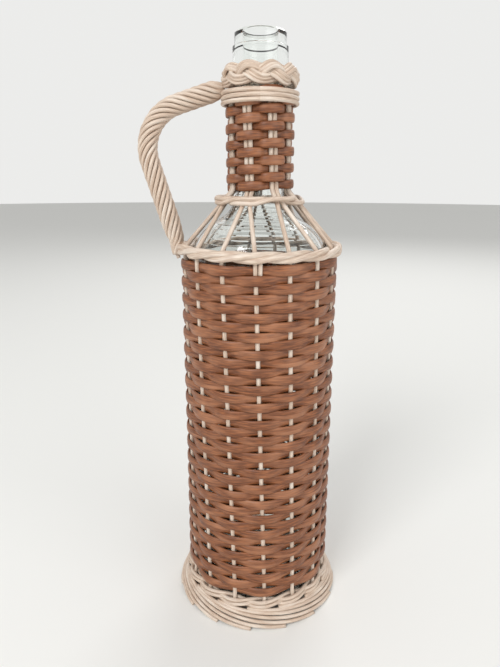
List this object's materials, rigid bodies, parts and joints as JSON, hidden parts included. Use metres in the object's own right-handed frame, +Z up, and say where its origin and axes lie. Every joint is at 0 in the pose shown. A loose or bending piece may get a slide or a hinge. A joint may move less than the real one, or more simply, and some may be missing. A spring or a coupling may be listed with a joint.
{
  "type": "wicker-covered wine bottle",
  "caption": "Clear glass wine bottle in a woven wicker jacket, with a rolled foot border, a plaited collar and a twisted side handle.",
  "frame": {"origin": "on the floor, on the bottle's axis, midway between the undersides of the foot border rods", "axes": "+Z up along the bottle's axis towards the mouth, -Y towards the front, handle at -X"},
  "size_m": [0.1181, 0.1021, 0.331],
  "materials": {
    "clear_glass": "gloss",
    "peeled_willow": "satin",
    "brown_weaver": "satin"
  },
  "bodies": {
    "root": {"glass_bottle": "clear_glass", "base_cross_lower": "peeled_willow", "base_cross_upper": "peeled_willow", "base_weaver": "peeled_willow", "stake_1": "peeled_willow", "stake_2": "peeled_willow", "stake_3": "peeled_willow", "stake_4": "peeled_willow", "stake_5": "peeled_willow", "stake_6": "peeled_willow", "stake_7": "peeled_willow", "stake_8": "peeled_willow", "stake_9": "peeled_willow", "stake_10": "peeled_willow", "stake_11": "peeled_willow", "stake_12": "peeled_willow", "stake_13": "peeled_willow", "stake_14": "peeled_willow", "stake_15": "peeled_willow", "foot_border": "peeled_willow", "foot_twine_lower": "peeled_willow", "foot_twine_upper": "peeled_willow", "shoulder_wale_rod_1": "peeled_willow", "shoulder_wale_rod_2": "peeled_willow", "shoulder_wale_rod_3": "peeled_willow", "wale_tail": "peeled_willow", "neck_wale_rod_1": "peeled_willow", "neck_wale_rod_2": "peeled_willow", "neck_wale_rod_3": "peeled_willow", "neck_lash_reed_1": "peeled_willow", "neck_lash_reed_2": "peeled_willow", "neck_lash_reed_3": "peeled_willow", "collar_strand_1": "peeled_willow", "collar_strand_2": "peeled_willow", "collar_strand_3": "peeled_willow", "handle_core": "peeled_willow", "handle_rod_1": "peeled_willow", "handle_rod_2": "peeled_willow", "handle_rod_3": "peeled_willow", "handle_rod_4": "peeled_willow", "handle_rod_5": "peeled_willow", "handle_rod_6": "peeled_willow", "handle_rod_7": "peeled_willow", "handle_rod_8": "peeled_willow", "handle_rod_9": "peeled_willow", "handle_tie": "peeled_willow", "body_weaver": "brown_weaver", "neck_weaver": "brown_weaver"}
  },
  "joints": []
}
